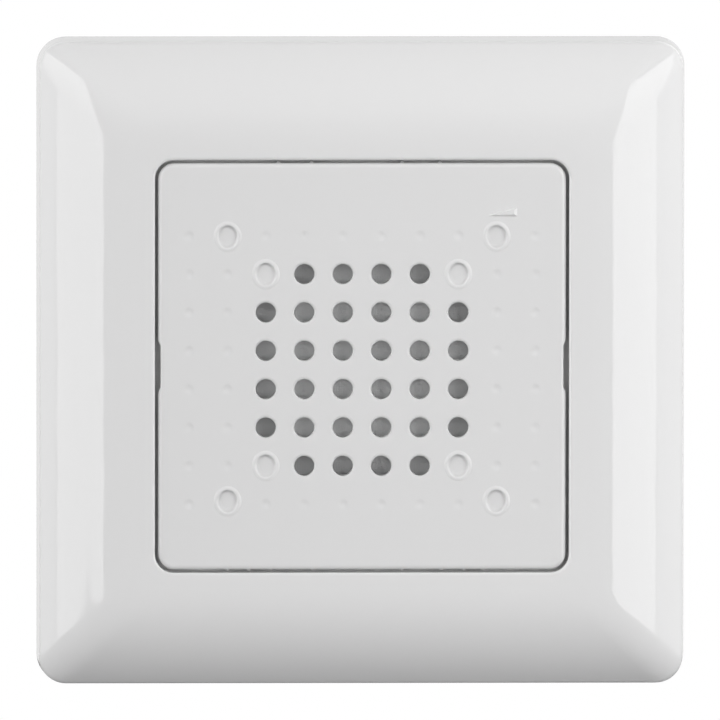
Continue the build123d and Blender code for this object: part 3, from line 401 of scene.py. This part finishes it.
# Dust cloth. A round of pale non-woven cloth behind the sound holes, held by its rim and a little way
# back from the plate. Toward its rim its colour is darkened with painted shade, so the outer holes look
# darker.
def fibre_skin():
    """Cloth and paper: threads or matted fibres that catch the light, a blotched colour, and painted shade
    toward the rim.
    """
    thread_height, mat_height = 0.0001, 0.00012
    # The near black that the painted rim shade goes to.
    painted_shade_colour = (0.05, 0.05, 0.055, 1)
    group, given, result = shader_group(
        "fibre_skin",
        {"Colour": (0.6, 0.6, 0.6, 1), "Shade Colour": (0.4, 0.4, 0.4, 1), "Thread": 0.5, "Matting": 0.5,
         "Roughness": 0.9, "Rim Shade": 0.0, "Rim Start": 0.008, "Rim End": 0.015},
        {"Colour": "Color", "Roughness": "Float", "Normal": "Vector"},
    )
    across = texture(group, "ShaderNodeTexWave", (1500, 1500, 1500), bands_direction="X", scale=1.0,
                     distortion=1.2, detail=1.0)
    upward = texture(group, "ShaderNodeTexWave", (1500, 1500, 1500), bands_direction="Z", scale=1.0,
                     distortion=1.2, detail=1.0)
    matted = texture(group, "ShaderNodeTexNoise", (2600, 2600, 2600), scale=1.0, detail=6.0)
    weave = combine(group, "MULTIPLY", across, upward)
    blotch = combine(group, "MULTIPLY_ADD", weave, given["Thread"],
                     combine(group, "MULTIPLY", matted, given["Matting"]))
    axis = group.nodes.new("ShaderNodeTexCoord")
    flat = group.nodes.new("ShaderNodeVectorMath")
    flat.operation = "MULTIPLY"
    flat.inputs[1].default_value = (1, 0, 1)
    away = group.nodes.new("ShaderNodeVectorMath")
    away.operation = "LENGTH"
    rim = group.nodes.new("ShaderNodeMapRange")
    rim.interpolation_type = "SMOOTHSTEP"
    group.links.new(axis.outputs["Object"], flat.inputs[0])
    group.links.new(flat.outputs["Vector"], away.inputs[0])
    group.links.new(away.outputs["Value"], rim.inputs["Value"])
    group.links.new(given["Rim Start"], rim.inputs["From Min"])
    group.links.new(given["Rim End"], rim.inputs["From Max"])
    # Painted shade: toward the rim the colour goes to near black, standing in for the shade behind the outer
    # holes.
    painted_rim_shade = combine(group, "MULTIPLY", rim.outputs["Result"], given["Rim Shade"])
    cloth = blended(group, blotch, given["Shade Colour"], given["Colour"])
    group.links.new(blended(group, painted_rim_shade, cloth, painted_shade_colour), result["Colour"])
    group.links.new(around(group, matted, 0.1, given["Roughness"]), result["Roughness"])
    threads = bumped(group, weave, given["Thread"], thread_height)
    group.links.new(bumped(group, matted, given["Matting"], mat_height, threads), result["Normal"])
    return group


def turned(name, profile, material, body=None, steps=96, closed=False):
    """A piece of revolution round the chime's axis. The profile is given in radius and y."""
    verts, faces = [], []
    for step in range(steps):
        angle = 2 * math.pi * step / steps
        verts += [(radius * math.cos(angle), y, radius * math.sin(angle)) for radius, y in profile]
    count = len(profile)
    last = count if closed else count - 1
    for step in range(steps):
        here, there = step * count, (step + 1) % steps * count
        for place in range(last):
            after = (place + 1) % count
            faces.append((here + place, here + after, there + after, there + place))
    return add_piece(name, verts, faces, material, body, smooth=True)


fibre = fibre_skin()
pale_cloth = finished(
    "pale_cloth", fibre,
    {"Colour": (0.93, 0.935, 0.935, 1), "Shade Colour": (0.88, 0.885, 0.885, 1), "Thread": 0.2,
     "Matting": 0.35, "Roughness": 0.92, "Rim Shade": 0.28, "Rim Start": 0.0105, "Rim End": 0.0136},
)
cloth_low, cloth_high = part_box("dust_cloth")
cloth_radius = (cloth_high.x - cloth_low.x) / 2
cloth_middle_radius = 0.00001
cloth_thickness = 0.00015
cloth_seat = cloth_low.y + 0.00002
cloth_setback = 0.00055
rim_tightness = 12
cloth_rings = 28
cloth_profile = []
for ring in range(cloth_rings + 1):
    share = ring / cloth_rings
    sag = cloth_setback * (1 - share**rim_tightness)
    cloth_profile.append((max(cloth_radius * share, cloth_middle_radius), cloth_seat + sag))
back_profile = [(radius, y + cloth_thickness) for radius, y in reversed(cloth_profile)]
dust_cloth = turned("dust_cloth_round", cloth_profile + back_profile, pale_cloth, "cover")
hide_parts("dust_cloth")


# Support ring. A blanked sheet of steel, zinc plated and faintly clouded, whose 60 mm pair of holes
# and slots takes the screws of the wall box. The claws are stamped from the same sheet.
def plated_skin():
    """Metal: cloudy plating, fine rolling or turning lines along one way, and a few dull spots."""
    spot_share, line_share = 0.6, 0.4
    line_height = 0.00003
    group, given, result = shader_group(
        "plated_skin",
        {"Colour": (0.6, 0.6, 0.6, 1), "Cloud Colour": (0.5, 0.5, 0.45, 1), "Cloud": 0.5, "Roughness": 0.3,
         "Roughness Spread": 0.2, "Lines": 0.2},
        {"Colour": "Color", "Roughness": "Float", "Normal": "Vector"},
    )
    cloud = texture(group, "ShaderNodeTexNoise", (140, 140, 140), scale=1.0, detail=5.0)
    spots = texture(group, "ShaderNodeTexNoise", (1100, 1100, 1100), scale=1.0, detail=2.0)
    lines = texture(group, "ShaderNodeTexNoise", (120, 5200, 5200), scale=1.0, detail=2.0)
    amount = combine(group, "MULTIPLY", cloud, given["Cloud"])
    group.links.new(blended(group, amount, given["Colour"], given["Cloud Colour"]), result["Colour"])
    mixed = combine(group, "MULTIPLY_ADD", spots, spot_share,
                    combine(group, "MULTIPLY", lines, line_share))
    group.links.new(around(group, mixed, given["Roughness Spread"], given["Roughness"]), result["Roughness"])
    group.links.new(bumped(group, lines, given["Lines"], line_height), result["Normal"])
    return group


plated = plated_skin()
zinc_steel = finished(
    "zinc_steel", plated,
    {"Colour": (0.66, 0.67, 0.68, 1), "Cloud Colour": (0.50, 0.53, 0.60, 1), "Cloud": 0.8,
     "Roughness": 0.33, "Roughness Spread": 0.25, "Lines": 0.25},
    Metallic=1.0,
)
dress(zinc_steel, "support_ring", "claw_right", "claw_left")

# Carrier. The front moulding of the insert in satin pale grey, with a fine eroded grain. It holds the
# loudspeaker under four hooks, the trimmer, and the sockets that the cover's legs plug into.
grey_moulding = finished(
    "grey_moulding", moulded,
    {"Colour": (0.60, 0.605, 0.60, 1), "Drift Colour": (0.55, 0.555, 0.56, 1), "Drift": 0.7,
     "Roughness": 0.48, "Roughness Spread": 0.12, "Ripple": 0.03, "Grain": 0.35},
    IOR=1.5,
)
dress(grey_moulding, "insert_carrier")

# Small screws and pins. Bright zinc plated steel with turned heads: four clamp screws, two board
# screws, the terminals' screws and the riveted pins of the claws.
plated_fastener = finished(
    "plated_fastener", plated,
    {"Colour": (0.72, 0.70, 0.64, 1), "Cloud Colour": (0.60, 0.57, 0.44, 1), "Cloud": 0.6,
     "Roughness": 0.24, "Roughness Spread": 0.18, "Lines": 0.35},
    Metallic=1.0,
)
dress(plated_fastener, "clamp_screws", "board_screws", "terminal_screws", "claw_pins")

# Cover springs. Four bent strips of bright rolled spring steel. They sit in the carrier's pockets
# and press on the cover's legs.
spring_steel = finished(
    "spring_steel", plated,
    {"Colour": (0.55, 0.56, 0.58, 1), "Cloud Colour": (0.42, 0.40, 0.42, 1), "Cloud": 0.5,
     "Roughness": 0.22, "Roughness Spread": 0.12, "Lines": 0.6},
    Metallic=1.0,
)
dress(spring_steel, "cover_springs")

# Rear housing. The case that goes into the wall box, moulded in black with a coarse eroded texture
# and screwed to the carrier through the support ring.
black_moulding = finished(
    "black_moulding", moulded,
    {"Colour": (0.030, 0.030, 0.032, 1), "Drift Colour": (0.050, 0.049, 0.048, 1), "Drift": 0.9,
     "Roughness": 0.52, "Roughness Spread": 0.16, "Ripple": 0.05, "Grain": 0.7},
    IOR=1.5,
)
dress(black_moulding, "rear_housing")

# Loudspeaker, metal parts. A pressed basket, pole plate and yoke in black passivated steel round a
# ground ferrite ring, and the voice coil of enamelled copper on its paper former.
speaker_steel = finished(
    "speaker_steel", plated,
    {"Colour": (0.12, 0.12, 0.125, 1), "Cloud Colour": (0.20, 0.19, 0.16, 1), "Cloud": 0.7,
     "Roughness": 0.36, "Roughness Spread": 0.2, "Lines": 0.2},
    Metallic=0.8,
)
dress(speaker_steel, "speaker_basket", "pole_plate", "speaker_yoke")
ferrite = finished(
    "ferrite", moulded,
    {"Colour": (0.045, 0.045, 0.048, 1), "Drift Colour": (0.075, 0.072, 0.07, 1), "Drift": 1.0,
     "Roughness": 0.62, "Roughness Spread": 0.2, "Ripple": 0.1, "Grain": 0.9},
)
dress(ferrite, "speaker_magnet")


def wound_skin():
    """Fine wire wound round the chime's axis: rings along y, with painted shade darkening the grooves between
    the turns.
    """
    wire_height = 0.00006
    group, given, result = shader_group(
        "wound_skin",
        {"Colour": (0.72, 0.32, 0.16, 1), "Shade Colour": (0.2, 0.06, 0.03, 1), "Roughness": 0.3,
         "Depth": 0.8},
        {"Colour": "Color", "Roughness": "Float", "Normal": "Vector"},
    )
    turns = texture(group, "ShaderNodeTexWave", (2000, 2000, 2000), bands_direction="Y", scale=1.0)
    # Painted shade: the colour goes to the darker shade colour in the grooves between the turns.
    group.links.new(blended(group, turns, given["Shade Colour"], given["Colour"]), result["Colour"])
    group.links.new(around(group, turns, 0.1, given["Roughness"]), result["Roughness"])
    group.links.new(bumped(group, turns, given["Depth"], wire_height), result["Normal"])
    return group


copper_wire = finished("copper_wire", wound_skin(), {"Roughness": 0.3}, Metallic=0.9)
dress(copper_wire, "coil_winding")


# Loudspeaker, moving parts. The cone is dyed pulp pressed with shallow rings, with a dome of the same
# paper over its neck. A doped cloth roll joins it to the rim, and a corrugated cloth disc centres it.
def pulp_skin():
    """Dyed paper pulp: matted fibres and shallow pressed rings round the chime's axis."""
    fibre_height, ring_height = 0.00005, 0.0003
    group, given, result = shader_group(
        "pulp_skin",
        {"Colour": (0.06, 0.06, 0.06, 1), "Fibre Colour": (0.12, 0.11, 0.1, 1), "Rings": 0.3,
         "Roughness": 0.85},
        {"Colour": "Color", "Roughness": "Float", "Normal": "Vector"},
    )
    fibres = texture(group, "ShaderNodeTexNoise", (3200, 3200, 900), scale=1.0, detail=6.0)
    rings = texture(group, "ShaderNodeTexWave", (500, 500, 500), wave_type="RINGS", rings_direction="Y",
                    scale=1.0)
    speck = combine(group, "POWER", fibres, 3.0)
    group.links.new(blended(group, speck, given["Colour"], given["Fibre Colour"]), result["Colour"])
    group.links.new(around(group, fibres, 0.2, given["Roughness"]), result["Roughness"])
    matted = bumped(group, fibres, given["Roughness"], fibre_height)
    group.links.new(bumped(group, rings, given["Rings"], ring_height, matted), result["Normal"])
    return group


pulp = pulp_skin()
cone_paper = finished("cone_paper", pulp, {"Rings": 0.35, "Roughness": 0.85})
dress(cone_paper, "speaker_cone", "coil_former")
cap_paper = finished("cap_paper", pulp, {"Colour": (0.045, 0.045, 0.048, 1), "Rings": 0.0, "Roughness": 0.7})
dress(cap_paper, "dust_cap")
doped_cloth = finished(
    "doped_cloth", fibre,
    {"Colour": (0.075, 0.070, 0.065, 1), "Shade Colour": (0.035, 0.033, 0.03, 1), "Thread": 0.8,
     "Matting": 0.2, "Roughness": 0.55},
)
spider_cloth = finished(
    "spider_cloth", fibre,
    {"Colour": (0.50, 0.38, 0.18, 1), "Shade Colour": (0.25, 0.17, 0.07, 1), "Thread": 1.0,
     "Matting": 0.2, "Roughness": 0.75},
)


def thin_round(front, thickness):
    """A closed profile from a front line in radius and y, with a back that follows it."""
    return front + [(radius, y + thickness) for radius, y in reversed(front)]


def held_at_rim(piece):
    """Lays each point out at its radius from the axis, bakes the piece's placement into its mesh, and puts
    the points back.
    """
    vertices = piece.data.vertices
    formed = [vert.co.copy() for vert in vertices]
    for vert in vertices:
        vert.co = (math.hypot(vert.co.x, vert.co.z), 0, 0)
    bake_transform(piece)
    for vert, place in zip(vertices, formed):
        vert.co = place
    piece.data.update()


rim_cloth_thickness = 0.00016
rim_cloth_margin = 0.0001
fine_steps = 120

surround_low, surround_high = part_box("cone_surround")
surround_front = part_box("speaker_gasket")[1].y
roll_inner, roll_outer = 0.0150, 0.0170
roll_clearance = 0.00001
roll_steps = 16
lip_width, lip_drop = 0.0002, 0.00004
roll_rise = surround_front - surround_low.y - roll_clearance
roll_half = (roll_outer - roll_inner) / 2
roll_radius = (roll_half**2 + roll_rise**2) / (2 * roll_rise)
surround_inner, surround_outer = 0.0143, surround_high.x - rim_cloth_margin
surround_line = [(surround_inner, surround_front + lip_drop), (surround_inner + lip_width, surround_front)]
for step in range(roll_steps + 1):
    across_roll = roll_half * (2 * step / roll_steps - 1)
    lift = math.sqrt(roll_radius**2 - across_roll**2) - (roll_radius - roll_rise)
    surround_line.append((roll_inner + roll_half + across_roll, surround_front - lift))
surround_line.append((surround_outer, surround_front))
surround = turned("cone_surround_roll", thin_round(surround_line, rim_cloth_thickness), doped_cloth,
                  steps=fine_steps, closed=True)
held_at_rim(surround)
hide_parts("cone_surround")

spider_low, spider_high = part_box("speaker_spider")
spider_inner, spider_outer = 0.00508, spider_high.x - rim_cloth_margin
wave_start, wave_end = 0.0060, 0.0112
wave_count, wave_fade = 3, 0.5
wave_clearance = 0.00011
spider_steps = 64
spider_middle = (spider_low.y + spider_high.y) / 2
spider_half_wave = (spider_high.y - spider_low.y) / 2 - wave_clearance
spider_line = []
for step in range(spider_steps + 1):
    radius = spider_inner + (spider_outer - spider_inner) * step / spider_steps
    along = min(1.0, max(0.0, (radius - wave_start) / (wave_end - wave_start)))
    fade = math.sin(math.pi * along)**wave_fade
    lift = spider_half_wave * fade * math.sin(2 * math.pi * wave_count * along)
    spider_line.append((radius, spider_middle - rim_cloth_thickness / 2 + lift))
spider = turned("speaker_spider_waves", thin_round(spider_line, rim_cloth_thickness), spider_cloth,
                steps=fine_steps, closed=True)
held_at_rim(spider)
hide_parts("speaker_spider")

# Loudspeaker, rim and wiring. A ring of closed-cell foam seals the rim to the cover, and a small
# phenolic board takes the leads, which are stranded copper in soft red sleeves.
gasket_foam = finished(
    "gasket_foam", fibre,
    {"Colour": (0.05, 0.05, 0.052, 1), "Shade Colour": (0.02, 0.02, 0.02, 1), "Thread": 0.0,
     "Matting": 1.0, "Roughness": 0.9},
)
gasket_low, gasket_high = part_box("speaker_gasket")
gasket_inner, gasket_outer = 0.01705, gasket_high.x - 0.00003
gasket_foot_inset, gasket_foot = 0.0001, gasket_high.y - 0.00001
gasket_side = gasket_high.y - 0.00012
gasket_swell = gasket_high.y - gasket_low.y - 0.00014
crown_fullness, side_fullness = 0.45, 0.6
gasket_steps = 12
gasket_middle, gasket_half = (gasket_inner + gasket_outer) / 2, (gasket_outer - gasket_inner) / 2
gasket_profile = [(gasket_inner + gasket_foot_inset, gasket_foot)]
for step in range(gasket_steps + 1):
    angle = math.pi * (1 - step / gasket_steps)
    side, crown = math.cos(angle), math.sin(angle)
    swell = abs(crown)**crown_fullness
    width = math.copysign(abs(side)**side_fullness, side)
    gasket_profile.append((gasket_middle + gasket_half * width, gasket_side - gasket_swell * swell))
gasket_profile.append((gasket_outer - gasket_foot_inset, gasket_foot))
gasket = turned("speaker_gasket_foam", gasket_profile, gasket_foam, "insert",
                steps=fine_steps, closed=True)
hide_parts("speaker_gasket")
fibre_board = finished(
    "fibre_board", fibre,
    {"Colour": (0.42, 0.22, 0.09, 1), "Shade Colour": (0.27, 0.13, 0.05, 1), "Thread": 0.3,
     "Matting": 0.6, "Roughness": 0.5},
)
dress(fibre_board, "speaker_tag_board")
wire_sleeve = finished(
    "wire_sleeve", moulded,
    {"Colour": (0.45, 0.03, 0.025, 1), "Drift Colour": (0.30, 0.02, 0.02, 1), "Drift": 0.6,
     "Roughness": 0.38, "Roughness Spread": 0.1, "Ripple": 0.1, "Grain": 0.1},
)
dress(wire_sleeve, "speaker_leads", "volume_leads")

# Volume control. A blue moulded trimmer behind the upper right blind. Its white slotted rotor is
# turned with a small screwdriver once that blind is pushed through.
trimmer_blue = finished(
    "trimmer_blue", moulded,
    {"Colour": (0.03, 0.12, 0.40, 1), "Drift Colour": (0.03, 0.09, 0.30, 1), "Drift": 0.6,
     "Roughness": 0.3, "Roughness Spread": 0.1, "Ripple": 0.05, "Grain": 0.1},
)
dress(trimmer_blue, "volume_trimmer")
rotor_white = finished(
    "rotor_white", moulded,
    {"Colour": (0.72, 0.71, 0.68, 1), "Drift Colour": (0.62, 0.60, 0.55, 1), "Drift": 0.6,
     "Roughness": 0.42, "Roughness Spread": 0.1, "Ripple": 0.02, "Grain": 0.15},
)
dress(rotor_white, "volume_rotor")


# Circuit board. Glass laminate under green solder resist, with copper tracks that show through it.
# Behind it stand two sleeved capacitors, two chips, a rectifier and four lacquered resistors.
def resist_skin():
    """Green lacquer over copper tracks, which stand slightly proud and look paler."""
    track_height = 0.00004
    group, given, result = shader_group(
        "resist_skin",
        {"Colour": (0.02, 0.14, 0.06, 1), "Track Colour": (0.08, 0.34, 0.14, 1), "Roughness": 0.25,
         "Depth": 0.5},
        {"Colour": "Color", "Roughness": "Float", "Normal": "Vector"},
    )
    cells = texture(group, "ShaderNodeTexBrick", (420, 1, 420), scale=1.0, mortar_size=0.12)
    speck = texture(group, "ShaderNodeTexNoise", (800, 800, 800), scale=1.0, detail=3.0)
    group.links.new(blended(group, cells, given["Colour"], given["Track Colour"]), result["Colour"])
    group.links.new(around(group, speck, 0.15, given["Roughness"]), result["Roughness"])
    group.links.new(bumped(group, cells, given["Depth"], track_height), result["Normal"])
    return group


board_laminate = finished("board_laminate", resist_skin(), {"Roughness": 0.25}, IOR=1.5)
dress(board_laminate, "circuit_board")
component_black = finished(
    "component_black", moulded,
    {"Colour": (0.028, 0.028, 0.030, 1), "Drift Colour": (0.045, 0.045, 0.045, 1), "Drift": 0.8,
     "Roughness": 0.42, "Roughness Spread": 0.12, "Ripple": 0.03, "Grain": 0.4},
)
dress(component_black, "melody_chip", "amplifier_chip", "bridge_rectifier", "capacitors")
resistor_lacquer = finished(
    "resistor_lacquer", moulded,
    {"Colour": (0.55, 0.40, 0.22, 1), "Drift Colour": (0.40, 0.26, 0.13, 1), "Drift": 0.7,
     "Roughness": 0.25, "Roughness Spread": 0.1, "Ripple": 0.2, "Grain": 0.1},
)
dress(resistor_lacquer, "resistors")

# Screw terminals. A green moulded block with four wells and a brass clamping cage in each. The
# claws' barrel nuts are turned from the same brass.
terminal_green = finished(
    "terminal_green", moulded,
    {"Colour": (0.035, 0.22, 0.10, 1), "Drift Colour": (0.03, 0.17, 0.08, 1), "Drift": 0.7,
     "Roughness": 0.40, "Roughness Spread": 0.12, "Ripple": 0.03, "Grain": 0.3},
)
dress(terminal_green, "terminal_block")
brass = finished(
    "brass_nut", plated,
    {"Colour": (0.78, 0.60, 0.28, 1), "Cloud Colour": (0.55, 0.36, 0.14, 1), "Cloud": 0.7,
     "Roughness": 0.28, "Roughness Spread": 0.2, "Lines": 0.4},
    Metallic=1.0,
)
dress(brass, "terminal_cages", "claw_nut_right", "claw_nut_left")


# Claw screws. Bright plated steel screws with a slotted, domed head and a fine rolled thread of
# 0.6 mm. Turning one draws its barrel nut to the front, and the nut spreads the claw.
head_radius, head_height, head_edge = 0.0027, 0.0018, 0.0002
dome_height, dome_start, dome_rings = 0.0004, 0.55, 4
dome_middle_share = 0.05
slot_half_width, slot_depth = 0.0003, 0.0007
thread_radius, core_radius = 0.00175, 0.00148
thread_pitch, crest_fullness = 0.0006, 1.35
point_length, point_taper = 0.0006, 0.25
screw_steps, rows_per_turn = 48, 8
screw_angles = [2 * math.pi * step / screw_steps for step in range(screw_steps)]


def thread_radii(y, taper):
    """The radius of the thread at each angle round the screw, less where its point tapers."""
    radii = []
    for angle in screw_angles:
        phase = (y / thread_pitch - angle / (2 * math.pi)) % 1.0
        crest = min(1.0, crest_fullness * (1 - abs(2 * phase - 1)))
        radii.append((core_radius + (thread_radius - core_radius) * crest) * (1 - point_taper * taper))
    return radii


def claw_screw_piece(name, node, body):
    """One screw, built ring by ring from the middle of its head to its point."""
    low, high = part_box(node)
    middle_x = (low.x + high.x) / 2
    neck = low.y + head_height
    built = bmesh.new()
    rings = []

    def ring(y, radii):
        """A ring of points round the screw's axis."""
        made = []
        for radius, angle in zip(radii, screw_angles):
            made.append(built.verts.new((middle_x + radius * math.cos(angle), y, radius * math.sin(angle))))
        rings.append(made)

    for step in range(dome_rings + 1):
        share = step / dome_rings
        drop = 1 - math.sqrt(1 - (dome_start + (1 - dome_start) * share)**2)
        lift = dome_height * drop / (2 - math.sqrt(1 - dome_start**2))
        dome_radius = head_radius * (dome_middle_share + (1 - dome_middle_share) * share)
        ring(low.y + lift, [dome_radius] * screw_steps)
    ring(neck - head_edge, [head_radius] * screw_steps)
    ring(neck, [head_radius - head_edge] * screw_steps)
    ring(neck, [core_radius] * screw_steps)
    rows = round((high.y - neck) / thread_pitch * rows_per_turn)
    for row in range(rows + 1):
        y = neck + (high.y - neck) * row / rows
        taper = max(0.0, (y - (high.y - point_length)) / point_length)
        ring(y, thread_radii(y, taper))
    for before, after in zip(rings, rings[1:]):
        for step in range(screw_steps):
            follow = (step + 1) % screw_steps
            built.faces.new((before[step], before[follow], after[follow], after[step]))
    built.faces.new(list(reversed(rings[0])))
    built.faces.new(rings[-1])
    for vert in built.verts:
        if abs(vert.co.z) < slot_half_width and vert.co.y < low.y + slot_depth:
            vert.co.y = low.y + slot_depth
    bmesh.ops.recalc_face_normals(built, faces=built.faces)
    mesh = bpy.data.meshes.new(name)
    built.to_mesh(mesh)
    built.free()
    mesh.materials.append(plated_fastener)
    piece = bpy.data.objects.new(name, mesh)
    bpy.context.scene.collection.objects.link(piece)
    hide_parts(node)
    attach(piece, body)


claw_screw_piece("claw_screw_threaded_right", "claw_screw_right", "claw_screw_right")
claw_screw_piece("claw_screw_threaded_left", "claw_screw_left", "claw_screw_left")
